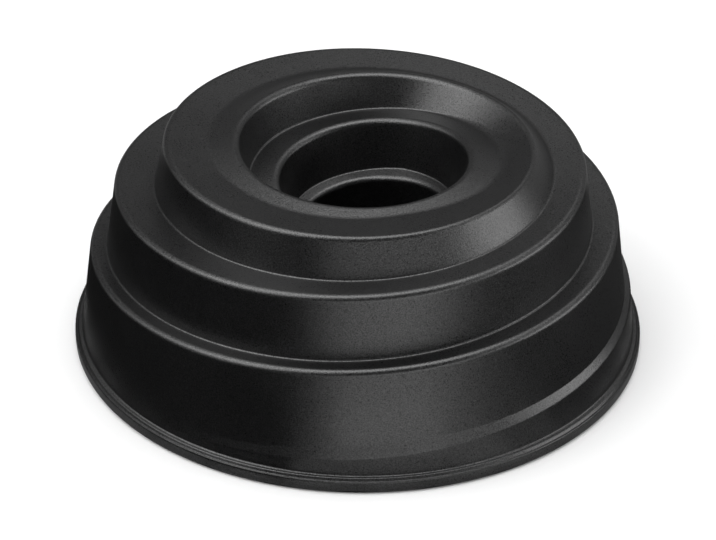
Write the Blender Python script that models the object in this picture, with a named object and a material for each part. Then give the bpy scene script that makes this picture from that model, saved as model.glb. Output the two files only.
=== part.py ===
"""Twist bundt pan, standing upside down on its rolled rim, the way it is stored and turned out.

Metres, +Z up. The origin is the centre of the ring that the rim stands on.
The pan is sheet steel: a pressed shell whose wall, crown and funnel carry one stepped spiral,
a steel wire inside the shell's rolled rim, and a chimney tube seated in the shell's collar.
"""
import math

import bmesh
import bpy

# Sheet, fits and fineness
SHEET = 0.0006
CLEARANCE = 0.0003
AZIMUTH_STEPS = 48
CURL_FACETS = 12
WIRE_SIDES = 8
HEM_FACETS = 8
FOLD_ANGLE = math.radians(40)

# Rolled rim: the curl round its wire, the skirt above it, a groove behind the skirt's lip, and the
# narrow land up to the wall's foot. Rises are counted up from the curl, insets in from the rim.
RIM_RADIUS = 0.1250
WIRE_DIAMETER = 0.0022
CURL_WIDTH = WIRE_DIAMETER + 2 * (CLEARANCE + SHEET)
CURL_END_RISE = 0.0010
SKIRT_RISE = 0.0012
LIP_INSET = 0.0003
LIP_RISE = 0.0019
GROOVE_INSET = 0.0010
GROOVE_RISE = 0.0015
LAND_INSET = 0.0017
LAND_RISE = 0.0028
FOOT_INSET = 0.0033
FOOT_RISE = 0.0030
FOOT_RADIUS = RIM_RADIUS - FOOT_INSET
FOOT_HEIGHT = CURL_WIDTH + FOOT_RISE

# Envelope that the spiral's ridge lies on, from the foot of the wall over the crown into the funnel
WALL_DRAFT = 0.0017
SHOULDER_RADIUS = FOOT_RADIUS - WALL_DRAFT
SHOULDER_HEIGHT = 0.0185
CROWN_RADIUS = 0.0772
CROWN_HEIGHT = 0.0978
THROAT_RADIUS = 0.0386
THROAT_HEIGHT = 0.0744
GULLET_RADIUS = 0.0274
GULLET_HEIGHT = 0.0652
COLLAR_RADIUS = 0.0270
COLLAR_HEIGHT = 0.0340
OUTER_FULLNESS = 1.96
FUNNEL_FULLNESS = 5.7
ARC_STEPS = 60

# Spiral: where it starts, how fast it climbs along the envelope, and how deep its funnel turns sway
START_AZIMUTH = math.radians(212)
START_CLIMB = 0.0008
FIRST_LEAD = 0.0465
LEAD = 0.0292
SLOWING_TURNS = 1.75
SWAY = 0.0017
SWAY_AZIMUTH = math.radians(98)
SWAY_START_TURNS = 2.47
SWAY_TURNS = 1.11
END_GAP = 0.0012

# Funnel turns: how far they lie off the rim's axis, and where that sets in going inwards and down
FUNNEL_OFFSET = (0.0037, -0.0034)
OFFSET_OUTER_REACH = 0.0188
OFFSET_INNER_REACH = 0.0182
OFFSET_THROAT_DROP = 0.0054
OFFSET_COLLAR_DROP = 0.0030

# Step: slope of its wall and of its ledge, both measured up from the inward horizontal.
# The wall lies down and the ledge tips over as the spiral passes the crown. Deep in the funnel the
# last ledge falls inwards and the throat below it stands upright.
WALL_SLOPE = math.radians(82.8)
FUNNEL_LEDGE_SLOPE = math.radians(14.6)
WALL_TIPPING_MID = 2.38
WALL_TIPPING_TURNS = 1.21
DEEP_LEDGE_SLOPE = math.radians(-10.3)
DEEP_LEDGE_MID = 4.20
DEEP_LEDGE_TURNS = 0.50
LEDGE_SLOPE = math.radians(-6.5)
FUNNEL_WALL_SLOPE = math.radians(-77.8)
LEDGE_TIPPING_MID = 3.50
LEDGE_TIPPING_TURNS = 0.635
THROAT_WALL_SLOPE = math.radians(-89.4)
THROAT_WALL_MID = 5.10
THROAT_WALL_TURNS = 0.40
START_BEVEL_SLOPE = math.radians(76.8)
START_BEVEL_MID = 0.45
START_BEVEL_TURNS = 0.56
START_FADE_TURNS = 0.25
END_FADE_TURNS = 1.90
LEDGE_SHARES = (0.15, 0.85)

# Rounding of the folds. The crease is softest where the spiral crosses the crown.
RIDGE_RADIUS = 0.0022
CREASE_RADIUS = 0.0009
CROWN_CREASE_RADIUS = 0.0060
SOFTENING_MID = 2.50
SOFTENING_TURNS = 0.65
SHARPENING_MID = 3.51
SHARPENING_TURNS = 0.16
LEAST_TANGENT = 0.0003
MOST_TANGENT_SHARE = 0.42
RIDGE_FACETS = 2
CREASE_FACETS = 1

# Collar and chimney tube
COLLAR_LENGTH = 0.0060
TUBE_LAP = 0.0050
TUBE_TIP_RADIUS = 0.0205
TUBE_TIP_HEIGHT = 0.0040
HEM_RADIUS = 0.0012

# Finishes
COATING_COLOUR = (0.018, 0.018, 0.019, 1.0)
COATING_ROUGHNESS = 0.5
STEEL_COLOUR = (0.55, 0.55, 0.56, 1.0)
STEEL_ROUGHNESS = 0.35


def clear_scene():
    """Remove whatever the opened file holds."""
    for existing in list(bpy.data.objects):
        bpy.data.objects.remove(existing, do_unlink=True)


def finish(name, colour, roughness, metallic):
    """A plain Principled material."""
    material = bpy.data.materials.new(name)
    material.use_nodes = True
    shader = material.node_tree.nodes["Principled BSDF"]
    shader.inputs["Base Color"].default_value = colour
    shader.inputs["Roughness"].default_value = roughness
    shader.inputs["Metallic"].default_value = metallic
    return material


def ease(share):
    """Smooth step from 0 to 1 as share goes from 0 to 1."""
    share = min(max(share, 0.0), 1.0)
    return share * share * (3 - 2 * share)


def changed(turns, middle, span):
    """How much of a change is done at a turn, when it takes so many turns about its middle."""
    return ease((turns - middle) / span + 0.5)


def between(start, end, share):
    """The point, or the number, at a share of the way from start to end."""
    if isinstance(start, tuple):
        return tuple(a + (b - a) * share for a, b in zip(start, end))
    return start + (end - start) * share


def quarter_oval(radii, heights, fullness, rising):
    """Points of a quarter superellipse between a wall and the crown.

    radii are the crown's and the wall's, heights the wall's and the crown's.
    """
    points = []
    for step in range(ARC_STEPS + 1):
        turn = math.pi / 2 * step / ARC_STEPS
        if not rising:
            turn = math.pi / 2 - turn
        across = max(math.cos(turn), 0.0) ** (2 / fullness)
        up = max(math.sin(turn), 0.0) ** (2 / fullness)
        points.append((between(*radii, across), between(*heights, up)))
    return points


def make_envelope():
    """The envelope as (path length, radius, height), from the foot to the collar."""
    outer = quarter_oval((CROWN_RADIUS, SHOULDER_RADIUS), (SHOULDER_HEIGHT, CROWN_HEIGHT),
                         OUTER_FULLNESS, True)
    funnel = quarter_oval((CROWN_RADIUS, THROAT_RADIUS), (THROAT_HEIGHT, CROWN_HEIGHT),
                          FUNNEL_FULLNESS, False)
    throat = [(GULLET_RADIUS, GULLET_HEIGHT), (COLLAR_RADIUS, COLLAR_HEIGHT)]
    outline = [(FOOT_RADIUS, FOOT_HEIGHT)] + outer + funnel[1:] + throat
    envelope = [(0.0, *outline[0])]
    for before, after in zip(outline, outline[1:]):
        envelope.append((envelope[-1][0] + math.dist(before, after), *after))
    return envelope


ENVELOPE = make_envelope()
ENVELOPE_LENGTH = ENVELOPE[-1][0]


def envelope_point(path):
    """Radius and height at a path length along the envelope."""
    path = min(max(path, 0.0), ENVELOPE_LENGTH)
    for before, after in zip(ENVELOPE, ENVELOPE[1:]):
        if path <= after[0]:
            return between(before[1:], after[1:], (path - before[0]) / (after[0] - before[0]))
    return ENVELOPE[-1][1:]


def climb(turns):
    """Path length that the ridge has reached, so many turns after its start."""
    slowing = min(turns, SLOWING_TURNS)
    path = START_CLIMB + LEAD * turns
    path += (FIRST_LEAD - LEAD) * (slowing - slowing * slowing / (2 * SLOWING_TURNS))
    azimuth = START_AZIMUTH + math.tau * turns
    grown = ease((turns - SWAY_START_TURNS) / SWAY_TURNS)
    return path + SWAY * grown * math.cos(azimuth - SWAY_AZIMUTH)


def count_columns():
    """How many azimuth steps the ridge takes until it meets the collar."""
    columns = AZIMUTH_STEPS
    while climb((columns + 1) / AZIMUTH_STEPS) < ENVELOPE_LENGTH - END_GAP:
        columns += 1
    return columns


COLUMNS = count_columns()
LAST_TURN = COLUMNS / AZIMUTH_STEPS


def ridge_corner(turns):
    """The sharp ridge before rounding."""
    if turns > LAST_TURN:
        return ENVELOPE[-1][1:]
    return envelope_point(climb(turns))


def crease_corner(turns):
    """The sharp crease before rounding: where the ledge from one ridge meets the wall of the next."""
    low = ridge_corner(turns)
    high = ridge_corner(turns + 1)
    wall = between(WALL_SLOPE, FUNNEL_LEDGE_SLOPE, changed(turns, WALL_TIPPING_MID, WALL_TIPPING_TURNS))
    wall = between(wall, DEEP_LEDGE_SLOPE, changed(turns, DEEP_LEDGE_MID, DEEP_LEDGE_TURNS))
    ledge = between(LEDGE_SLOPE, FUNNEL_WALL_SLOPE, changed(turns, LEDGE_TIPPING_MID, LEDGE_TIPPING_TURNS))
    ledge = between(ledge, THROAT_WALL_SLOPE, changed(turns, THROAT_WALL_MID, THROAT_WALL_TURNS))
    bevelled = 1 - changed(turns, START_BEVEL_MID, START_BEVEL_TURNS)
    ledge += (START_BEVEL_SLOPE - LEDGE_SLOPE) * bevelled
    across = high[0] - low[0]
    up = high[1] - low[1]
    reach = (across * math.sin(wall) + up * math.cos(wall)) / math.sin(ledge - wall)
    stepped = (low[0] - reach * math.cos(ledge), low[1] + reach * math.sin(ledge))
    share = min(max(reach / math.hypot(across, up), LEDGE_SHARES[0]), LEDGE_SHARES[1])
    plain = between(low, high, share)
    shown = ease(turns / START_FADE_TURNS) * ease((LAST_TURN - turns) / END_FADE_TURNS)
    return between(plain, stepped, shown)


def rounded(before, corner, after, radius, facets):
    """Points of a round fold of the given radius at a corner between two straight runs."""
    run_in = math.dist(before, corner)
    run_out = math.dist(corner, after)
    cosine = sum((b - a) * (c - b) for a, b, c in zip(before, corner, after)) / (run_in * run_out)
    turn = math.acos(min(max(cosine, -1.0), 1.0))
    tangent = max(radius * math.tan(turn / 2), LEAST_TANGENT)
    tangent = min(tangent, MOST_TANGENT_SHARE * run_in, MOST_TANGENT_SHARE * run_out)
    start = between(corner, before, tangent / run_in)
    end = between(corner, after, tangent / run_out)
    points = []
    for step in range(facets + 1):
        u = step / facets
        pull = 2 * u * (1 - u) * math.cos(turn / 2)
        total = (1 - u) ** 2 + pull + u * u
        points.append(tuple(((1 - u) ** 2 * s + pull * c + u * u * e) / total
                            for s, c, e in zip(start, corner, end)))
    return points


def step_points(turns):
    """The rounded ridge and crease of one column of the spiral."""
    below = crease_corner(turns - 1) if turns >= 1 else (FOOT_RADIUS, FOOT_HEIGHT)
    ridge = ridge_corner(turns)
    crease = crease_corner(turns)
    above = ridge_corner(turns + 1)
    softness = changed(turns, SOFTENING_MID, SOFTENING_TURNS)
    softness *= 1 - changed(turns, SHARPENING_MID, SHARPENING_TURNS)
    crease_radius = between(CREASE_RADIUS, CROWN_CREASE_RADIUS, softness)
    return (rounded(below, ridge, crease, RIDGE_RADIUS, RIDGE_FACETS)
            + rounded(ridge, crease, above, crease_radius, CREASE_FACETS))


def on_circle(point, azimuth):
    """A profile point, radius and height, turned to an azimuth."""
    radius, height = point
    return (radius * math.cos(azimuth), radius * math.sin(azimuth), height)


def on_spiral(point, azimuth):
    """A spiral point turned to its azimuth, with the funnel's turns off the axis."""
    radius, height = point
    inward = ease((CROWN_RADIUS + OFFSET_OUTER_REACH - radius) / (OFFSET_OUTER_REACH + OFFSET_INNER_REACH))
    lowest = COLLAR_HEIGHT - OFFSET_COLLAR_DROP
    upward = ease((height - lowest) / (THROAT_HEIGHT - OFFSET_THROAT_DROP - lowest))
    x, y, z = on_circle(point, azimuth)
    return (x + FUNNEL_OFFSET[0] * inward * upward, y + FUNNEL_OFFSET[1] * inward * upward, z)


def rim_outline():
    """Outer face of the rolled rim, from the curl's end inside, round below and up to the land's edge."""
    facet = math.tau / CURL_FACETS
    centre = (RIM_RADIUS - CURL_WIDTH / 2, CURL_WIDTH / 2)
    corner_radius = CURL_WIDTH / 2 / math.cos(facet / 2)
    outline = [(RIM_RADIUS - CURL_WIDTH, CURL_WIDTH + CURL_END_RISE)]
    for corner in range(CURL_FACETS // 2):
        angle = math.pi + facet * (corner + 0.5)
        outline.append((centre[0] + corner_radius * math.cos(angle), centre[1] + corner_radius * math.sin(angle)))
    for inset, rise in ((0.0, SKIRT_RISE), (LIP_INSET, LIP_RISE), (GROOVE_INSET, GROOVE_RISE),
                        (LAND_INSET, LAND_RISE)):
        outline.append((RIM_RADIUS - inset, CURL_WIDTH + rise))
    return outline


class RingedMesh:
    """A bmesh with helpers for rings of points about the Z axis."""

    def __init__(self):
        self.mesh = bmesh.new()

    def ring(self, point):
        """A level ring of vertices, the first at the spiral's starting azimuth."""
        return [self.mesh.verts.new(on_circle(point, START_AZIMUTH + math.tau * step / AZIMUTH_STEPS))
                for step in range(AZIMUTH_STEPS)]

    def band(self, low, high):
        """Faces between two rings."""
        for step in range(AZIMUTH_STEPS):
            after = (step + 1) % AZIMUTH_STEPS
            self.mesh.faces.new((low[step], low[after], high[after], high[step]))

    def stack(self, outline):
        """Rings along an outline with the bands between them."""
        rings = [self.ring(point) for point in outline]
        for low, high in zip(rings, rings[1:]):
            self.band(low, high)
        return rings

    def object(self, name, material):
        """The finished object, shaded smooth between its folds."""
        data = bpy.data.meshes.new(name)
        self.mesh.to_mesh(data)
        self.mesh.free()
        data.materials.append(material)
        data.shade_smooth()
        data.set_sharp_from_angle(angle=FOLD_ANGLE)
        made = bpy.data.objects.new(name, data)
        bpy.context.collection.objects.link(made)
        return made


def add_spiral(shell, foot, collar):
    """The stepped spiral between the foot ring and the collar ring, as one helical ribbon.

    Each column of the ribbon holds a ridge and a crease, and its wall runs up to the ridge one turn
    later. The face beside the ribbon's start takes in its first column, and the face one turn before
    its end takes in its last.
    """
    mesh = shell.mesh
    ribbon = []
    for column in range(COLUMNS + 1):
        azimuth = START_AZIMUTH + math.tau * column / AZIMUTH_STEPS
        ribbon.append([mesh.verts.new(on_spiral(point, azimuth))
                       for point in step_points(column / AZIMUTH_STEPS)])

    def above(column):
        """The vertex that a column's wall runs up to."""
        if column + AZIMUTH_STEPS <= COLUMNS:
            return ribbon[column + AZIMUTH_STEPS][0]
        return collar[column % AZIMUTH_STEPS]

    for column in range(AZIMUTH_STEPS):
        corners = [foot[column], foot[(column + 1) % AZIMUTH_STEPS]]
        if column == AZIMUTH_STEPS - 1:
            corners.extend(ribbon[0])
        mesh.faces.new(corners + [ribbon[column + 1][0], ribbon[column][0]])
    for column in range(COLUMNS):
        here, there = ribbon[column], ribbon[column + 1]
        for row in range(len(here) - 1):
            mesh.faces.new((here[row], there[row], there[row + 1], here[row + 1]))
        corners = [here[-1], there[-1], above(column + 1)]
        if column == COLUMNS - AZIMUTH_STEPS:
            corners.append(collar[COLUMNS % AZIMUTH_STEPS])
            corners.extend(reversed(ribbon[COLUMNS]))
        else:
            corners.append(above(column))
        mesh.faces.new(corners)


def give_thickness(made):
    """Turn a face-only shell into sheet metal on its hidden side."""
    wall = made.modifiers.new("sheet", "SOLIDIFY")
    wall.thickness = SHEET
    wall.offset = -1
    wall.use_even_offset = True
    wall.use_quality_normals = True


def make_shell(material):
    """The pressed shell with its rolled rim, twisted wall, crown, funnel and collar."""
    shell = RingedMesh()
    rim = shell.stack(rim_outline())
    foot = shell.ring((FOOT_RADIUS, FOOT_HEIGHT))
    shell.band(rim[-1], foot)
    collar = shell.stack([(COLLAR_RADIUS, COLLAR_HEIGHT), (COLLAR_RADIUS, COLLAR_HEIGHT - COLLAR_LENGTH)])
    add_spiral(shell, foot, collar[0])
    give_thickness(shell.object("pan_shell", material))


def make_wire(material):
    """The steel wire that the rim is rolled round."""
    wire = RingedMesh()
    rings = []
    for side in range(WIRE_SIDES):
        angle = math.tau * (side + 0.5) / WIRE_SIDES
        rings.append(wire.ring((RIM_RADIUS - CURL_WIDTH / 2 + WIRE_DIAMETER / 2 * math.cos(angle),
                                CURL_WIDTH / 2 + WIRE_DIAMETER / 2 * math.sin(angle))))
    for low, high in zip(rings, rings[1:] + rings[:1]):
        wire.band(low, high)
    wire.object("rim_wire", material)


def make_tube(material):
    """The chimney tube, seated inside the collar, with its tip hemmed inwards."""
    seat_radius = COLLAR_RADIUS - CLEARANCE - SHEET
    collar_end = COLLAR_HEIGHT - COLLAR_LENGTH
    hem_height = TUBE_TIP_HEIGHT + SHEET + HEM_RADIUS
    outline = [(seat_radius, collar_end + TUBE_LAP), (seat_radius, collar_end - CLEARANCE)]
    for corner in range(HEM_FACETS // 2 + 1):
        angle = -math.tau * corner / HEM_FACETS
        outline.append((TUBE_TIP_RADIUS - HEM_RADIUS + HEM_RADIUS * math.cos(angle),
                        hem_height + HEM_RADIUS * math.sin(angle)))
    tube = RingedMesh()
    tube.stack(outline)
    give_thickness(tube.object("chimney_tube", material))


def main():
    clear_scene()
    coating = finish("matte_black_coating", COATING_COLOUR, COATING_ROUGHNESS, 0.0)
    steel = finish("plain_steel_wire", STEEL_COLOUR, STEEL_ROUGHNESS, 1.0)
    make_shell(coating)
    make_wire(steel)
    make_tube(coating)


main()
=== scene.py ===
"""Looks of a twist bundt pan: fine sheet metal, black coating, rim wire and a plain studio."""

import math

import bmesh
import bpy
from mathutils import Matrix, Vector


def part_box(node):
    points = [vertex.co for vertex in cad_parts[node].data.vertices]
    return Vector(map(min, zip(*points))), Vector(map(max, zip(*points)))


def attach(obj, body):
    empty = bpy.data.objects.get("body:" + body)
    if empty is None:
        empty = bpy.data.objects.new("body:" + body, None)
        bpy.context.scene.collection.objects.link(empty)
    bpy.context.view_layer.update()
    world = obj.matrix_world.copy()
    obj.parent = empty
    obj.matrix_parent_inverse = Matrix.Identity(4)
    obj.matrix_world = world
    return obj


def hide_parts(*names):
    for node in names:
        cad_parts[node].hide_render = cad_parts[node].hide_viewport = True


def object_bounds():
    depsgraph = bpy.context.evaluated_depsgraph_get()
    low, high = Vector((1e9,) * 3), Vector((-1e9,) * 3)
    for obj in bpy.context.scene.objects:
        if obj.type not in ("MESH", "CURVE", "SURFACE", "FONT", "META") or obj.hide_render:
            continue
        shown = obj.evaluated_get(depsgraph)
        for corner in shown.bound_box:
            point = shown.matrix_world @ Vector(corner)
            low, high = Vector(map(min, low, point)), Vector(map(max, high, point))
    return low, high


bl_info = {
    "name": "Twist bundt pan",
    "version": (1, 0, 0),
    "blender": (4, 5, 0),
    "location": "3D View > Sidebar > Bundt pan",
    "description": "Makes the pan's fine sheet, tube, wire, finishes and studio round its frame",
    "category": "Add Mesh",
}

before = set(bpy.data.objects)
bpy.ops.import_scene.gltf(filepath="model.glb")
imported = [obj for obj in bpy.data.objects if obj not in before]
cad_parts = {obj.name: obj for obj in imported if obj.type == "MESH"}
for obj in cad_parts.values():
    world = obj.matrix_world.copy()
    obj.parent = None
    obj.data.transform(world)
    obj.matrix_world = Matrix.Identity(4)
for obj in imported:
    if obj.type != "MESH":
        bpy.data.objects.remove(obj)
CAD_LOW, CAD_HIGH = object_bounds()
TUBE_LOW, TUBE_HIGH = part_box("chimney_tube")
BODY = "root"

# Mesh fineness
STEPS = 180
RIDGE_POINTS = 8
CREASE_POINTS = 7
CURL_STEP = math.radians(15)
SUPPORT = 0.0005
SUPPORT_SHARE = 0.25
LEAST_SPAN = 0.0005
MERGE = 1e-7
DOUBLES = MERGE * 10
SMOOTH_ANGLE = math.radians(30)

# Envelope that the spiral's ridge lies on, as (radius, height)
WALL_FOOT = (0.1217, 0.0070)
SHOULDER = (0.1200, 0.0185)
CROWN = (0.0772, 0.0978)
THROAT = (0.0386, 0.0744)
GULLET = (0.0274, 0.0652)
COLLAR = (0.0270, 0.0340)
OUTER_FULLNESS = 1.96
FUNNEL_FULLNESS = 5.7
ARC_POINTS = 240

# Spiral
START_AZIMUTH = math.radians(212)
START_CLIMB = 0.0008
FIRST_LEAD = 0.0465
LEAD = 0.0292
SLOWING_TURNS = 1.75
SWAY = 0.0017
SWAY_AZIMUTH = math.radians(98)
SWAY_START_TURNS = 2.47
SWAY_TURNS = 1.11
END_GAP = 0.0012

# Funnel turns, off the rim's axis
FUNNEL_OFFSET = (0.0037, -0.0034)
OFFSET_OUTER_REACH = 0.0188
OFFSET_INNER_REACH = 0.0182
OFFSET_THROAT_DROP = 0.0054
OFFSET_COLLAR_DROP = 0.0030

# Slopes of the step's wall and ledge, up from the inward horizontal. A pair of turns says where
# along the spiral a change is half done and how long it takes.
WALL_SLOPE = math.radians(82.8)
FUNNEL_LEDGE_SLOPE = math.radians(14.6)
WALL_TIPPING = (2.38, 1.21)
DEEP_LEDGE_SLOPE = math.radians(-10.3)
DEEP_LEDGE = (4.20, 0.50)
LEDGE_SLOPE = math.radians(-6.5)
FUNNEL_WALL_SLOPE = math.radians(-77.8)
LEDGE_TIPPING = (3.50, 0.635)
THROAT_WALL_SLOPE = math.radians(-89.4)
THROAT_WALL = (5.10, 0.40)

# Band at the spiral's start: slope and end of its bevel, how soon it shows, and its ridge's swell
START_BEVEL_SLOPE = math.radians(71.0)
START_BEVEL = (0.45, 0.56)
START_FADE_TURNS = 0.12
START_SWELL = 0.00080
START_SWELL_TURNS = 0.16
START_SWELL_END = (0.25, 0.26)

# Fading of the step at the spiral's end, and where a faded crease may lie between its two ridges
END_FADE_TURNS = 1.90
LEDGE_SHARES = (0.15, 0.85)

# Softness of the crown's crease
SOFTENING = (2.50, 0.65)
SHARPENING = (3.51, 0.16)
LEAST_TANGENT = 0.0003
MOST_TANGENT_SHARE = 0.42

# Rim: curl, skirt, lip, groove and land, as insets from the rim and heights
RIM_RADIUS = 0.1250
CURL_WIDTH = 0.0040
CURL_END_HEIGHT = 0.0050
SKIRT_HEIGHT = 0.0052
LIP = (0.0003, 0.0059)
GROOVE = (0.0010, 0.0055)
LAND_EDGE = (0.0017, 0.0068)
LIP_ROUNDING = 0.0006
GROOVE_ROUNDING = 0.0005
LAND_ROUNDING = 0.0005
FOOT_ROUNDING = 0.0009
RIM_POINTS = 6

# Collar and chimney tube
COLLAR_LENGTH = 0.0060
TUBE_SEAT_RADIUS = 0.0261
TUBE_SHOULDER_HEIGHT = 0.0277
TUBE_SHOULDER_ROUNDING = 0.002
TUBE_SHOULDER_POINTS = 5
TUBE_TIP_RADIUS = 0.0205
HEM_RADIUS = 0.0012

# Rim wire
WIRE_SIDES = 16

# Black coating: size and detail of its textures, the range of each that counts, what it does to
# roughness and gloss, and the height and strength of each relief
GRAIN_DETAIL = 2
GRAIN_CRISPNESS = 0.6
SPECKS_PER_GRAIN = 3
SPECK_RANGE = (0.52, 0.78)
PEEL_SIZE = 0.0035
CLOUD_SIZE = 0.030
CLOUD_DETAIL = 3
CLOUD_RANGE = (0.3, 0.7)
CLOUD_ROUGHNESS = 0.025
GRAIN_RANGE = (0.25, 0.75)
GRAIN_ROUGHNESS = 0.08
GLOSS_RANGE = (0.28, 0.72)
GLOSS = (0.26, 0.74)
PEEL_RELIEF = (0.00006, 0.5)
GRAIN_RELIEF = (0.00010, 0.8)

# Drawn steel: its draw lines, how dark and how rough they are, and their relief
LINE_SIZE = 0.0004
LINE_DETAIL = 3
LINE_RANGE = (0.3, 0.7)
LINE_SHADE = 0.7
LINE_ROUGHNESS = (0.28, 0.42)
LINE_RELIEF = (0.00003, 0.4)

# Camera: where it stands, how it is turned, and its frame
CAMERA_PLACE = (0.0, -1.2757, 0.8392)
CAMERA_PITCH = math.radians(32.365)
CAMERA_YAW = math.radians(0.011)
CAMERA_ROLL = 0.0150
FOCAL_PIXELS = 3434.57
FRAME_WIDTH_PIXELS = 716
SENSOR_WIDTH = 36.0

# Floor
FLOOR_SIDES = 96
FLOOR_ROUGHNESS = 0.9

# Watts for each square metre of a lamp that make it as bright as white paper in plain light
LAMP_POWER = 4

# Lamps as name, azimuth, elevation, distance, width, height and brightness
LAMPS = (
    ("left_softbox", 290, 50, 2.0, 1.60, 1.00, 1.7),
    ("right_softbox", 84, 9.7, 2.0, 1.46, 0.66, 1.4),
    ("overhead_softbox", 180, 89, 2.0, 1.90, 1.30, 1.65),
)

# Glowing cards seen in reflections only, with their brightness last: painted light where bright and
# painted shade where dim, which the pan's coating reflects. Standing ones span azimuths and
# elevations, lying ones azimuths and reaches from the pan's axis.
STANDING_CARDS = (
    ("front_horizon_card", -15, 15, 0, 7, 1.50),
    ("front_card", -15, 15, 7, 65, 0.10),
    ("front_right_horizon_card", 15, 40, 0, 7, 1.50),
    ("front_right_middle_card", 15, 40, 7, 18, 0.25),
    ("front_right_low_card", 40, 66, 0, 18, 0.65),
    ("front_right_card", 15, 45, 18, 65, 0.06),
    ("right_front_card", 45, 74, 18, 65, 0.45),
    ("over_right_card", 74, 105, 19, 40, 0.80),
    ("over_back_right_card", 105, 135, 19, 40, 0.35),
    ("back_right_low_card", 105, 165, 0, 19, 0.22),
    ("back_right_card", 135, 165, 19, 40, 0.25),
    ("high_right_card", 105, 135, 40, 65, 0.50),
    ("back_card", 165, 240, 0, 40, 0.12),
    ("high_back_card", 165, 255, 40, 65, 0.65),
    ("left_back_card", 240, 255, 0, 18, 0.40),
    ("left_low_card", 255, 285, 0, 18, 0.02),
    ("left_front_low_card", 285, 315, 0, 18, 0.25),
    ("front_left_card", 315, 345, 0, 40, 0.04),
    ("high_front_left_card", 315, 345, 40, 65, 0.50),
)
LYING_CARDS = (
    # Dim cards under the pan and round its rim: painted shadow of the pan on the floor, as the
    # coating reflects it
    ("under_pan_shadow_card", 0, 360, 0.001, 0.1255, 0.01),
    ("rim_shadow_card", 0, 360, 0.1255, 0.131, 0.25),
    ("left_floor_card", 230, 346, 0.131, 5.0, 0.01),
    ("back_floor_card", 130, 230, 0.131, 5.0, 0.30),
    ("left_edge_card", 346, 354, 0.131, 0.45, 0.28),
    # Dim card on the near floor in front: painted shadow of the pan, as the coating reflects it
    ("front_near_shadow_card", 354, 384, 0.131, 0.161, 0.25),
    ("front_edge_card", 354, 384, 0.161, 0.200, 1.30),
    ("front_middle_card", 354, 384, 0.200, 0.45, 0.65),
    ("front_right_edge_card", 24, 36, 0.131, 0.45, 0.42),
    ("front_far_card", 15, 45, 0.45, 5.0, 2.20),
    ("right_edge_card", 36, 50, 0.131, 0.45, 0.18),
    ("right_floor_card", 50, 130, 0.131, 0.45, 0.04),
    ("right_near_far_card", 45, 75, 0.45, 5.0, 0.05),
    ("right_far_card", 75, 105, 0.45, 5.0, 0.70),
    ("back_right_far_card", 105, 130, 0.45, 5.0, 0.20),
)
CARD_DISTANCE = 6.0
CARD_STEPS = 24
CARD_LIFT = 0.0002


class PanSizes(bpy.types.PropertyGroup):
    """Sizes of the pan that a maker would change."""
    sheet: bpy.props.FloatProperty(
        name="Sheet", description="Thickness of the sheet",
        default=0.0006, min=0.0003, max=0.0015, subtype="DISTANCE", unit="LENGTH")
    ridge_radius: bpy.props.FloatProperty(
        name="Ridge radius", description="Radius of the spiral's ridge",
        default=0.0026, min=0.0005, subtype="DISTANCE", unit="LENGTH")
    crease_radius: bpy.props.FloatProperty(
        name="Crease radius", description="Radius of the crease on the wall",
        default=0.0009, min=0.0003, subtype="DISTANCE", unit="LENGTH")
    crown_crease_radius: bpy.props.FloatProperty(
        name="Crown crease radius", description="Radius of the crease where it crosses the crown",
        default=0.0060, min=0.0005, subtype="DISTANCE", unit="LENGTH")
    wire_diameter: bpy.props.FloatProperty(
        name="Wire diameter", description="Diameter of the wire in the rim",
        default=0.0022, min=0.0010, subtype="DISTANCE", unit="LENGTH")


class PanFinishes(bpy.types.PropertyGroup):
    """Colours and surface values of the pan's finishes."""
    coating_colour: bpy.props.FloatVectorProperty(
        name="Coating", description="Colour of the black coating",
        default=(0.0022, 0.0022, 0.0024), min=0, max=1, size=3, subtype="COLOR")
    speck_colour: bpy.props.FloatVectorProperty(
        name="Specks", description="Colour of the coating's fine specks",
        default=(0.010, 0.010, 0.0106), min=0, max=1, size=3, subtype="COLOR")
    coating_roughness: bpy.props.FloatProperty(
        name="Coating roughness", description="Roughness of the coating",
        default=0.33, min=0, max=1, subtype="FACTOR")
    coating_ior: bpy.props.FloatProperty(
        name="Coating IOR", description="Refractive index of the coating",
        default=1.80, min=1, max=3)
    grain_size: bpy.props.FloatProperty(
        name="Grain size", description="Size of the coating's grain",
        default=0.0006, min=0.0001, subtype="DISTANCE", unit="LENGTH")
    steel_colour: bpy.props.FloatVectorProperty(
        name="Steel", description="Colour of the rim's steel wire",
        default=(0.55, 0.55, 0.56), min=0, max=1, size=3, subtype="COLOR")


class StageSettings(bpy.types.PropertyGroup):
    """The studio round the pan."""
    floor_colour: bpy.props.FloatVectorProperty(
        name="Floor", description="Colour of the floor",
        default=(0.94, 0.94, 0.94), min=0, max=1, size=3, subtype="COLOR")
    floor_size: bpy.props.FloatProperty(
        name="Floor size", description="Radius of the floor",
        default=9.0, min=1.0, subtype="DISTANCE", unit="LENGTH")
    ambient: bpy.props.FloatProperty(
        name="Ambient", description="Strength of the even light from all sides",
        default=0.80, min=0)


def ease(share):
    """Smooth step from 0 to 1 as share goes from 0 to 1."""
    share = min(max(share, 0.0), 1.0)
    return share * share * (3 - 2 * share)


def changed(turns, middle, span):
    """How much of a change is done at a turn, when it takes so many turns about its middle."""
    return ease((turns - middle) / span + 0.5)


def between(start, end, share):
    """The point, or the number, at a share of the way from start to end."""
    if isinstance(start, tuple):
        return tuple(a + (b - a) * share for a, b in zip(start, end))
    return start + (end - start) * share


def quarter_oval(crown, side, fullness):
    """Points of a quarter superellipse from a side point up to the crown."""
    points = []
    for step in range(ARC_POINTS + 1):
        turn = math.pi / 2 * step / ARC_POINTS
        across = max(math.cos(turn), 0.0) ** (2 / fullness)
        up = max(math.sin(turn), 0.0) ** (2 / fullness)
        points.append((between(crown[0], side[0], across), between(side[1], crown[1], up)))
    return points


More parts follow.
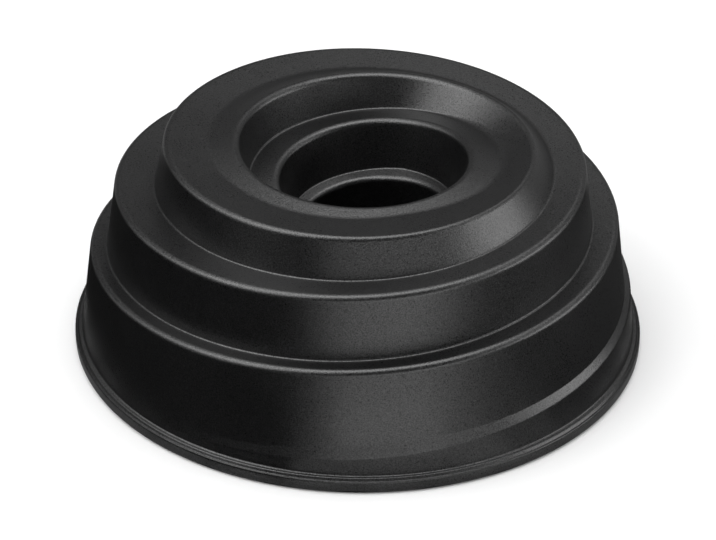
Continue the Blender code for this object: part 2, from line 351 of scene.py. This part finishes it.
def make_envelope():
    """The envelope as (path length, radius, height), from the wall's foot to the collar."""
    funnel = quarter_oval(CROWN, THROAT, FUNNEL_FULLNESS)
    outer = quarter_oval(CROWN, SHOULDER, OUTER_FULLNESS)
    outline = [WALL_FOOT] + outer + funnel[-2::-1] + [GULLET, COLLAR]
    envelope = [(0.0, *outline[0])]
    for before, after in zip(outline, outline[1:]):
        envelope.append((envelope[-1][0] + math.dist(before, after), *after))
    return envelope


def fold(before, corner, after, radius, count):
    """Points of a round fold at a corner between two straight runs."""
    run_in = max(math.dist(before, corner), MERGE)
    run_out = max(math.dist(corner, after), MERGE)
    cosine = sum((b - a) * (c - b) for a, b, c in zip(before, corner, after)) / (run_in * run_out)
    turn = math.acos(min(max(cosine, -1.0), 1.0))
    tangent = max(radius * math.tan(turn / 2), LEAST_TANGENT)
    tangent = min(tangent, MOST_TANGENT_SHARE * run_in, MOST_TANGENT_SHARE * run_out)
    start = between(corner, before, tangent / run_in)
    end = between(corner, after, tangent / run_out)
    points = []
    for step in range(count):
        u = step / (count - 1)
        pull = 2 * u * (1 - u) * math.cos(turn / 2)
        total = (1 - u) ** 2 + pull + u * u
        points.append(tuple(((1 - u) ** 2 * s + pull * c + u * u * e) / total
                            for s, c, e in zip(start, corner, end)))
    return points


def straight(start, end):
    """Points inside a straight run, close to its two folds and half way."""
    length = max(math.dist(start, end), MERGE)
    share = min(SUPPORT / length, SUPPORT_SHARE)
    return [between(start, end, share), between(start, end, 0.5), between(start, end, 1 - share)]


class Spiral:
    """The stepped spiral's columns, each a run of (radius, height) points from ridge to ridge."""

    def __init__(self, sizes):
        self.sizes = sizes
        self.envelope = make_envelope()
        self.length = self.envelope[-1][0]
        # The ribbon starts half way up the rounding of the wall's foot
        self.start = FOOT_ROUNDING * math.tan(WALL_SLOPE / 2) / 2
        columns = STEPS
        while self.climb((columns + 1) / STEPS) < self.length - END_GAP:
            columns += 1
        self.columns = columns
        self.last = columns / STEPS

    def at(self, path):
        """Radius and height at a path length along the envelope."""
        path = min(max(path, 0.0), self.length)
        for before, after in zip(self.envelope, self.envelope[1:]):
            if path <= after[0]:
                return between(before[1:], after[1:], (path - before[0]) / (after[0] - before[0]))
        return self.envelope[-1][1:]

    def climb(self, turns):
        """Path length that the ridge has reached, so many turns after its start."""
        slowing = min(turns, SLOWING_TURNS)
        path = START_CLIMB + LEAD * turns
        path += (FIRST_LEAD - LEAD) * (slowing - slowing * slowing / (2 * SLOWING_TURNS))
        azimuth = START_AZIMUTH + math.tau * turns
        grown = ease((turns - SWAY_START_TURNS) / SWAY_TURNS)
        return path + SWAY * grown * math.cos(azimuth - SWAY_AZIMUTH)

    def ridge(self, turns):
        """The sharp ridge. It grows out of the foot before its start, and dies at the collar."""
        if turns < 0:
            return self.at(between(self.start, START_CLIMB, max(turns + 1, 0.0)))
        if turns > self.last:
            return self.at(between(self.climb(self.last), self.length, min(turns - self.last, 1.0)))
        radius, height = self.at(self.climb(turns))
        swell = ease(turns / START_SWELL_TURNS) * (1 - changed(turns, *START_SWELL_END))
        return (radius + START_SWELL * swell, height)

    def crease(self, turns):
        """The sharp crease, where the ledge from one ridge meets the wall of the next."""
        low, high = self.ridge(turns), self.ridge(turns + 1)
        wall = between(WALL_SLOPE, FUNNEL_LEDGE_SLOPE, changed(turns, *WALL_TIPPING))
        wall = between(wall, DEEP_LEDGE_SLOPE, changed(turns, *DEEP_LEDGE))
        ledge = between(LEDGE_SLOPE, FUNNEL_WALL_SLOPE, changed(turns, *LEDGE_TIPPING))
        ledge = between(ledge, THROAT_WALL_SLOPE, changed(turns, *THROAT_WALL))
        ledge += (START_BEVEL_SLOPE - LEDGE_SLOPE) * (1 - changed(turns, *START_BEVEL))
        across, up = high[0] - low[0], high[1] - low[1]
        reach = (across * math.sin(wall) + up * math.cos(wall)) / math.sin(ledge - wall)
        stepped = (low[0] - reach * math.cos(ledge), low[1] + reach * math.sin(ledge))
        share = reach / max(math.hypot(across, up), MERGE)
        plain = between(low, high, min(max(share, LEDGE_SHARES[0]), LEDGE_SHARES[1]))
        shown = ease(turns / START_FADE_TURNS) * ease((self.last - turns) / END_FADE_TURNS)
        return between(plain, stepped, shown)

    def fold_points(self, turns):
        """The rounded ridge and the rounded crease of one column."""
        below = self.crease(turns - 1) if turns >= 1 else self.at(self.start)
        ridge, crease, above = self.ridge(turns), self.crease(turns), self.ridge(turns + 1)
        soft = changed(turns, *SOFTENING) * (1 - changed(turns, *SHARPENING))
        radius = between(self.sizes.crease_radius, self.sizes.crown_crease_radius, soft)
        return (fold(below, ridge, crease, self.sizes.ridge_radius, RIDGE_POINTS),
                fold(ridge, crease, above, radius, CREASE_POINTS))

    def column(self, turns):
        """All points of a column. The last one is the first one of the column a turn later."""
        ridge, crease = self.fold_points(turns)
        top = self.fold_points(turns + 1)[0][0] if turns < self.last else self.at(self.length)
        if turns <= -1:
            ridge = [self.at(self.start)]
        if math.dist(ridge[0], top) < LEAST_SPAN or turns <= -1:
            rows = RIDGE_POINTS + CREASE_POINTS + 2 * len(straight(top, top))
            return [ridge[0]] * rows + [top]
        return ridge + straight(ridge[-1], crease[0]) + crease + straight(crease[-1], top) + [top]


def placed(point, azimuth):
    """A spiral point at its azimuth, with the funnel's turns off the axis."""
    radius, height = point
    outermost = CROWN[0] + OFFSET_OUTER_REACH
    inward = ease((outermost - radius) / (OFFSET_OUTER_REACH + OFFSET_INNER_REACH))
    lowest = COLLAR[1] - OFFSET_COLLAR_DROP
    upward = ease((height - lowest) / (THROAT[1] - OFFSET_THROAT_DROP - lowest))
    return Vector((radius * math.cos(azimuth) + FUNNEL_OFFSET[0] * inward * upward,
                   radius * math.sin(azimuth) + FUNNEL_OFFSET[1] * inward * upward, height))


def rim_outline(foot):
    """Outer face of the rolled rim, from the curl's hidden end round and up to the wall's foot."""
    half = CURL_WIDTH / 2
    outline = [(RIM_RADIUS - CURL_WIDTH, CURL_END_HEIGHT)]
    for step in range(round(math.pi / CURL_STEP) + 1):
        angle = math.pi + CURL_STEP * step
        outline.append((RIM_RADIUS - half + half * math.cos(angle), half + half * math.sin(angle)))
    skirt = (RIM_RADIUS, SKIRT_HEIGHT)
    lip = (RIM_RADIUS - LIP[0], LIP[1])
    groove = (RIM_RADIUS - GROOVE[0], GROOVE[1])
    land = (RIM_RADIUS - LAND_EDGE[0], LAND_EDGE[1])
    corners = [outline[-1], skirt, lip, groove, land, WALL_FOOT, SHOULDER]
    radii = (LIP_ROUNDING, LIP_ROUNDING, GROOVE_ROUNDING, LAND_ROUNDING)
    for index, radius in enumerate(radii, 1):
        outline.extend(fold(*corners[index - 1:index + 2], radius, RIM_POINTS))
    outline.extend(fold(land, WALL_FOOT, SHOULDER, FOOT_ROUNDING, RIM_POINTS)[:-1])
    outline.append(foot)
    return outline


def start_afresh():
    """Object mode with nothing selected."""
    if bpy.context.object and bpy.context.object.mode != "OBJECT":
        bpy.ops.object.mode_set(mode="OBJECT")
    bpy.ops.object.select_all(action="DESELECT")


def new_object(name, material):
    """An empty mesh object, selected and active."""
    start_afresh()
    made = bpy.data.objects.new(name, bpy.data.meshes.new(name))
    bpy.context.collection.objects.link(made)
    made.data.materials.append(material)
    bpy.context.view_layer.objects.active = made
    made.select_set(True)
    return made


def add_lathe_profile(made, outline):
    """Draw an outline as edges at the starting azimuth, and spin it once round the axis."""
    mesh = bmesh.new()
    mesh.from_mesh(made.data)
    across, along = math.cos(START_AZIMUTH), math.sin(START_AZIMUTH)
    corners = [mesh.verts.new((radius * across, radius * along, height))
               for radius, height in outline]
    for before, after in zip(corners, corners[1:]):
        mesh.edges.new((before, after))
    mesh.to_mesh(made.data)
    mesh.free()
    bpy.ops.object.mode_set(mode="EDIT")
    bpy.ops.mesh.select_mode(type="VERT")
    bpy.ops.mesh.select_all(action="DESELECT")
    bpy.ops.object.mode_set(mode="OBJECT")
    first = len(made.data.vertices) - len(outline)
    for vert in made.data.vertices:
        vert.select = vert.index >= first
    for edge in made.data.edges:
        edge.select = min(edge.vertices) >= first
    bpy.ops.object.mode_set(mode="EDIT")
    bpy.ops.mesh.spin(steps=STEPS, angle=math.tau, center=(0, 0, 0), axis=(0, 0, 1))
    bpy.ops.mesh.select_all(action="SELECT")
    bpy.ops.mesh.remove_doubles(threshold=DOUBLES)
    bpy.ops.object.mode_set(mode="OBJECT")


def add_spiral(made, spiral):
    """Wind the spiral's ribbon, with the strip between the foot ring and its first turn."""
    mesh = bmesh.new()
    mesh.from_mesh(made.data)
    ribbon = []
    for column in range(-STEPS, spiral.columns + STEPS + 1):
        azimuth = START_AZIMUTH + math.tau * column / STEPS
        ribbon.append([mesh.verts.new(placed(point, azimuth))
                       for point in spiral.column(column / STEPS)])
    for here, there in zip(ribbon, ribbon[1:]):
        for row in range(len(here) - 1):
            mesh.faces.new((here[row], there[row], there[row + 1], here[row + 1]))
    lowest = spiral.at(spiral.start)
    foot = [mesh.verts.new(placed(lowest, START_AZIMUTH + math.tau * step / STEPS))
            for step in range(STEPS + 1)]
    for step in range(STEPS):
        mesh.faces.new((foot[step], foot[step + 1], ribbon[step + 1][0], ribbon[step][0]))
    mesh.to_mesh(made.data)
    mesh.free()


def join_sheet(made):
    """Merge the sheet's runs where they meet and point its faces outwards."""
    bpy.ops.object.mode_set(mode="EDIT")
    bpy.ops.mesh.select_all(action="SELECT")
    bpy.ops.mesh.remove_doubles(threshold=DOUBLES)
    bpy.ops.mesh.dissolve_degenerate(threshold=MERGE)
    bpy.ops.mesh.normals_make_consistent(inside=False)
    bpy.ops.object.mode_set(mode="OBJECT")


def face_outwards(made):
    """Flip an open sheet if its lowest face looks up, to the sheet's hidden side."""
    lowest = min(made.data.polygons, key=lambda face: face.center.z)
    if lowest.normal.z > 0:
        bpy.ops.object.mode_set(mode="EDIT")
        bpy.ops.mesh.select_all(action="SELECT")
        bpy.ops.mesh.flip_normals()
        bpy.ops.object.mode_set(mode="OBJECT")


def give_thickness(made, sheet):
    """Turn the open sheet into metal on its hidden side, and smooth its shading."""
    wall = made.modifiers.new("sheet", "SOLIDIFY")
    wall.thickness = sheet
    wall.offset = -1
    wall.use_even_offset = True
    wall.use_quality_normals = True
    bpy.ops.object.modifier_apply(modifier=wall.name)
    bpy.ops.object.shade_smooth_by_angle(angle=SMOOTH_ANGLE)
    weighted = made.modifiers.new("flats", "WEIGHTED_NORMAL")
    weighted.keep_sharp = True
    bpy.ops.object.modifier_apply(modifier=weighted.name)


def carry(made, node):
    """Put a finished piece in a CAD node's place."""
    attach(made, BODY)
    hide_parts(node)


def new_material(name):
    """A material with its node tree, shader and object coordinates."""
    material = bpy.data.materials.new(name)
    material.use_nodes = True
    nodes = material.node_tree.nodes
    shader = nodes["Principled BSDF"]
    place = nodes.new("ShaderNodeTexCoord")
    return material, shader, place.outputs["Object"]


def noise(material, place, size, detail, roughness=0.5):
    """A noise texture whose features are about so large."""
    texture = material.node_tree.nodes.new("ShaderNodeTexNoise")
    texture.inputs["Scale"].default_value = 1 / size
    texture.inputs["Detail"].default_value = detail
    texture.inputs["Roughness"].default_value = roughness
    material.node_tree.links.new(place, texture.inputs["Vector"])
    return texture.outputs["Fac"]


def spread(material, value, given, wanted):
    """Map a value from one range to another, held at its ends."""
    ranged = material.node_tree.nodes.new("ShaderNodeMapRange")
    for socket, number in zip(("From Min", "From Max", "To Min", "To Max"), (*given, *wanted)):
        ranged.inputs[socket].default_value = number
    material.node_tree.links.new(value, ranged.inputs["Value"])
    return ranged.outputs["Result"]


def blend_colours(material, share, first, second):
    """Mix two colours by a value."""
    mixed = material.node_tree.nodes.new("ShaderNodeMix")
    mixed.data_type = "RGBA"
    mixed.inputs["A"].default_value = (*first, 1)
    mixed.inputs["B"].default_value = (*second, 1)
    material.node_tree.links.new(share, mixed.inputs["Factor"])
    return mixed.outputs["Result"]


def bump(material, height, distance, strength, under=None):
    """A bump node from a height, over another bump's normal if there is one."""
    raised = material.node_tree.nodes.new("ShaderNodeBump")
    raised.inputs["Distance"].default_value = distance
    raised.inputs["Strength"].default_value = strength
    material.node_tree.links.new(height, raised.inputs["Height"])
    if under:
        material.node_tree.links.new(under, raised.inputs["Normal"])
    return raised.outputs["Normal"]


def black_coating(finishes):
    """Matte black non-stick coating: fine specks, sprayed grain and a faint orange peel."""
    name = "black_nonstick_coating"
    if name in bpy.data.materials:
        return bpy.data.materials[name]
    material, shader, place = new_material(name)
    link = material.node_tree.links.new
    grain = noise(material, place, finishes.grain_size, GRAIN_DETAIL, GRAIN_CRISPNESS)
    fine = noise(material, place, finishes.grain_size / SPECKS_PER_GRAIN, GRAIN_DETAIL)
    peel = noise(material, place, PEEL_SIZE, GRAIN_DETAIL)
    cloud = noise(material, place, CLOUD_SIZE, CLOUD_DETAIL)
    specks = spread(material, fine, SPECK_RANGE, (0.0, 1.0))
    link(blend_colours(material, specks, finishes.coating_colour, finishes.speck_colour),
         shader.inputs["Base Color"])
    even = spread(material, cloud, CLOUD_RANGE, (-CLOUD_ROUGHNESS, CLOUD_ROUGHNESS))
    rough = spread(material, grain, GRAIN_RANGE, (finishes.coating_roughness - GRAIN_ROUGHNESS,
                                                  finishes.coating_roughness + GRAIN_ROUGHNESS))
    total = material.node_tree.nodes.new("ShaderNodeMath")
    total.operation = "ADD"
    link(even, total.inputs[0])
    link(rough, total.inputs[1])
    link(total.outputs["Value"], shader.inputs["Roughness"])
    shader.inputs["IOR"].default_value = finishes.coating_ior
    wavy = bump(material, peel, *PEEL_RELIEF)
    link(spread(material, grain, GLOSS_RANGE, GLOSS), shader.inputs["Specular IOR Level"])
    link(bump(material, grain, *GRAIN_RELIEF, wavy), shader.inputs["Normal"])
    return material


def wire_steel(finishes):
    """Plain drawn steel wire with fine draw lines along it."""
    material, shader, place = new_material("drawn_steel_wire")
    link = material.node_tree.links.new
    lines = noise(material, place, LINE_SIZE, LINE_DETAIL)
    shade = spread(material, lines, LINE_RANGE, (0.0, 1.0))
    darker = tuple(LINE_SHADE * channel for channel in finishes.steel_colour)
    link(blend_colours(material, shade, darker, finishes.steel_colour), shader.inputs["Base Color"])
    shader.inputs["Metallic"].default_value = 1.0
    link(spread(material, lines, LINE_RANGE, LINE_ROUGHNESS), shader.inputs["Roughness"])
    link(bump(material, lines, *LINE_RELIEF), shader.inputs["Normal"])
    return material


class PAN_OT_shell(bpy.types.Operator):
    """Make the pressed shell: rolled rim, stepped spiral, crown, funnel and collar"""
    bl_idname = "pan.shell"
    bl_label = "Pressed shell"

    def execute(self, context):
        sizes = context.scene.pan_sizes
        spiral = Spiral(sizes)
        made = new_object("pressed_shell", black_coating(context.scene.pan_finishes))
        add_lathe_profile(made, rim_outline(spiral.at(spiral.start)))
        collar_end = (COLLAR[0], COLLAR[1] - COLLAR_LENGTH)
        add_lathe_profile(made, [COLLAR, between(COLLAR, collar_end, 0.5), collar_end])
        add_spiral(made, spiral)
        join_sheet(made)
        face_outwards(made)
        give_thickness(made, sizes.sheet)
        carry(made, "pan_shell")
        return {"FINISHED"}


class PAN_OT_tube(bpy.types.Operator):
    """Make the chimney tube, with its seat in the collar and its hemmed tip"""
    bl_idname = "pan.tube"
    bl_label = "Chimney tube"

    def execute(self, context):
        sizes = context.scene.pan_sizes
        made = new_object("chimney_tube_fine", black_coating(context.scene.pan_finishes))
        hem_height = TUBE_LOW.z + sizes.sheet + HEM_RADIUS
        seat = (TUBE_SEAT_RADIUS, TUBE_HIGH.z)
        shoulder = (TUBE_SEAT_RADIUS, TUBE_SHOULDER_HEIGHT)
        tip = (TUBE_TIP_RADIUS, hem_height)
        bend = fold(seat, shoulder, tip, TUBE_SHOULDER_ROUNDING, TUBE_SHOULDER_POINTS)
        outline = [seat, *bend]
        for step in range(round(math.pi / CURL_STEP) + 1):
            angle = -CURL_STEP * step
            outline.append((TUBE_TIP_RADIUS - HEM_RADIUS + HEM_RADIUS * math.cos(angle),
                            hem_height + HEM_RADIUS * math.sin(angle)))
        add_lathe_profile(made, outline)
        join_sheet(made)
        give_thickness(made, sizes.sheet)
        carry(made, "chimney_tube")
        return {"FINISHED"}


class PAN_OT_wire(bpy.types.Operator):
    """Make the steel wire that the rim is rolled round"""
    bl_idname = "pan.wire"
    bl_label = "Rim wire"

    def execute(self, context):
        sizes = context.scene.pan_sizes
        start_afresh()
        bpy.ops.mesh.primitive_torus_add(major_segments=STEPS, minor_segments=WIRE_SIDES,
                                         major_radius=RIM_RADIUS - CURL_WIDTH / 2,
                                         minor_radius=sizes.wire_diameter / 2,
                                         location=(0, 0, CURL_WIDTH / 2))
        made = context.object
        made.name = "rim_wire_fine"
        bpy.ops.object.transform_apply(location=True, rotation=True, scale=True)
        made.data.materials.clear()
        made.data.materials.append(wire_steel(context.scene.pan_finishes))
        bpy.ops.object.shade_smooth()
        carry(made, "rim_wire")
        return {"FINISHED"}


def direction(azimuth, elevation):
    """Unit vector towards an azimuth and elevation in degrees. 0 is the front, 90 the right."""
    turn, rise = math.radians(azimuth), math.radians(elevation)
    level = math.cos(rise)
    return Vector((math.sin(turn) * level, -math.cos(turn) * level, math.sin(rise)))


def add_floor(settings):
    """A wide pale floor under the rim."""
    start_afresh()
    bpy.ops.mesh.primitive_circle_add(vertices=FLOOR_SIDES, radius=settings.floor_size,
                                      fill_type="NGON", location=(0, 0, CAD_LOW.z))
    floor = bpy.context.object
    floor.name = "floor"
    material = bpy.data.materials.new("pale_floor")
    material.use_nodes = True
    shader = material.node_tree.nodes["Principled BSDF"]
    shader.inputs["Base Color"].default_value = (*settings.floor_colour, 1)
    shader.inputs["Roughness"].default_value = FLOOR_ROUGHNESS
    floor.data.materials.append(material)


def card_material(brightness):
    """An even glow that doesn't depend on the lamps: painted light, or painted shade where it is
    dim.
    """
    name = "card_%.2f" % brightness
    if name in bpy.data.materials:
        return bpy.data.materials[name]
    material = bpy.data.materials.new(name)
    material.use_nodes = True
    nodes = material.node_tree.nodes
    glow = nodes.new("ShaderNodeEmission")
    glow.inputs["Strength"].default_value = brightness
    surface = nodes["Material Output"].inputs["Surface"]
    material.node_tree.links.new(glow.outputs["Emission"], surface)
    return material


def add_card(name, rows, brightness):
    """A glowing card that shows only in the pan's reflections, as painted light or painted shade,
    and does nothing else.
    """
    card = new_object(name, card_material(brightness))
    mesh = bmesh.new()
    corners = [[mesh.verts.new(corner) for corner in row] for row in rows]
    for low, high in zip(corners, corners[1:]):
        for index in range(len(low) - 1):
            mesh.faces.new((low[index], low[index + 1], high[index + 1], high[index]))
    mesh.to_mesh(card.data)
    mesh.free()
    card.visible_camera = False
    card.visible_diffuse = False
    card.visible_transmission = False
    card.visible_shadow = False


def bearings(first, last):
    """Azimuths of a card's corners, from its first to its last."""
    return [between(first, last, step / CARD_STEPS) for step in range(CARD_STEPS + 1)]


def add_cards():
    """Cards standing far behind the lamps, and lying on the floor round the pan."""
    for name, first, last, low, high, brightness in STANDING_CARDS:
        rows = [[CARD_DISTANCE * direction(azimuth, rise) for azimuth in bearings(first, last)]
                for rise in (low, (low + high) / 2, high)]
        add_card(name, rows, brightness)
    lift = Vector((0, 0, CAD_LOW.z + CARD_LIFT))
    for name, first, last, near, far, brightness in LYING_CARDS:
        rows = [[reach * direction(azimuth, 0) + lift for azimuth in bearings(first, last)]
                for reach in (near, far)]
        add_card(name, rows, brightness)


def add_world(settings):
    """A world that is white to the eye and in reflections, and lights the pan less strongly."""
    world = bpy.data.worlds.new("studio")
    bpy.context.scene.world = world
    world.use_nodes = True
    nodes, link = world.node_tree.nodes, world.node_tree.links.new
    background = nodes["Background"]
    background.inputs["Color"].default_value = (1, 1, 1, 1)
    path = nodes.new("ShaderNodeLightPath")
    seen = path.outputs["Is Camera Ray"]
    for way in ("Is Glossy Ray", "Is Transmission Ray"):
        either = nodes.new("ShaderNodeMath")
        either.operation = "MAXIMUM"
        link(seen, either.inputs[0])
        link(path.outputs[way], either.inputs[1])
        seen = either.outputs["Value"]
    strength = nodes.new("ShaderNodeMapRange")
    strength.inputs["To Min"].default_value = settings.ambient
    strength.inputs["To Max"].default_value = 1.0
    link(seen, strength.inputs["Value"])
    link(strength.outputs["Result"], background.inputs["Strength"])


def add_lamp(name, azimuth, elevation, distance, width, height, brightness):
    """A softbox that looks at the pan."""
    lamp = bpy.data.lights.new(name, "AREA")
    lamp.shape = "RECTANGLE"
    lamp.size, lamp.size_y = width, height
    lamp.energy = LAMP_POWER * width * height * brightness
    made = bpy.data.objects.new(name, lamp)
    bpy.context.collection.objects.link(made)
    towards = direction(azimuth, elevation)
    made.location = (CAD_LOW + CAD_HIGH) / 2 + distance * towards
    made.rotation_euler = (-towards).to_track_quat("-Z", "Y").to_euler()
    made.visible_camera = False


def add_camera():
    """The camera at the photograph's viewing angle."""
    data = bpy.data.cameras.new("camera")
    data.sensor_width = SENSOR_WIDTH
    data.lens = FOCAL_PIXELS * SENSOR_WIDTH / FRAME_WIDTH_PIXELS
    camera = bpy.data.objects.new("camera", data)
    bpy.context.collection.objects.link(camera)
    turned = (Matrix.Rotation(CAMERA_YAW, 4, "Z")
              @ Matrix.Rotation(math.pi / 2 - CAMERA_PITCH, 4, "X")
              @ Matrix.Rotation(CAMERA_ROLL, 4, "Z"))
    camera.matrix_world = Matrix.Translation(CAMERA_PLACE) @ turned
    bpy.context.scene.camera = camera


class PAN_OT_stage(bpy.types.Operator):
    """Make the pale floor, the white surround, the soft lamps and the camera"""
    bl_idname = "pan.stage"
    bl_label = "Stage"

    def execute(self, context):
        settings = context.scene.pan_stage
        add_floor(settings)
        add_world(settings)
        add_cards()
        for lamp in LAMPS:
            add_lamp(*lamp)
        add_camera()
        context.scene.view_settings.view_transform = "Standard"
        return {"FINISHED"}


class PAN_PT_panel(bpy.types.Panel):
    """Lists the pan's sizes, finishes and pieces"""
    bl_label = "Twist bundt pan"
    bl_idname = "PAN_PT_panel"
    bl_space_type = "VIEW_3D"
    bl_region_type = "UI"
    bl_category = "Bundt pan"

    def draw(self, context):
        for group in (context.scene.pan_sizes, context.scene.pan_finishes, context.scene.pan_stage):
            box = self.layout.box()
            for name in group.bl_rna.properties.keys():
                if name not in ("rna_type", "name"):
                    box.prop(group, name)
        for operator in OPERATORS:
            self.layout.operator(operator.bl_idname)


OPERATORS = (PAN_OT_shell, PAN_OT_tube, PAN_OT_wire, PAN_OT_stage)
GROUPS = {"pan_sizes": PanSizes, "pan_finishes": PanFinishes, "pan_stage": StageSettings}


def register():
    """Register the property groups, the operators and the panel."""
    for group in GROUPS.values():
        bpy.utils.register_class(group)
    for name, group in GROUPS.items():
        setattr(bpy.types.Scene, name, bpy.props.PointerProperty(type=group))
    for operator in OPERATORS:
        bpy.utils.register_class(operator)
    bpy.utils.register_class(PAN_PT_panel)


def unregister():
    """Take everything back that register added."""
    bpy.utils.unregister_class(PAN_PT_panel)
    for operator in reversed(OPERATORS):
        bpy.utils.unregister_class(operator)
    for name in GROUPS:
        delattr(bpy.types.Scene, name)
    for group in reversed(list(GROUPS.values())):
        bpy.utils.unregister_class(group)


def main():
    """Make all pieces and the stage."""
    register()
    bpy.ops.pan.shell()
    bpy.ops.pan.tube()
    bpy.ops.pan.wire()
    bpy.ops.pan.stage()


if __name__ == "__main__":
    main()
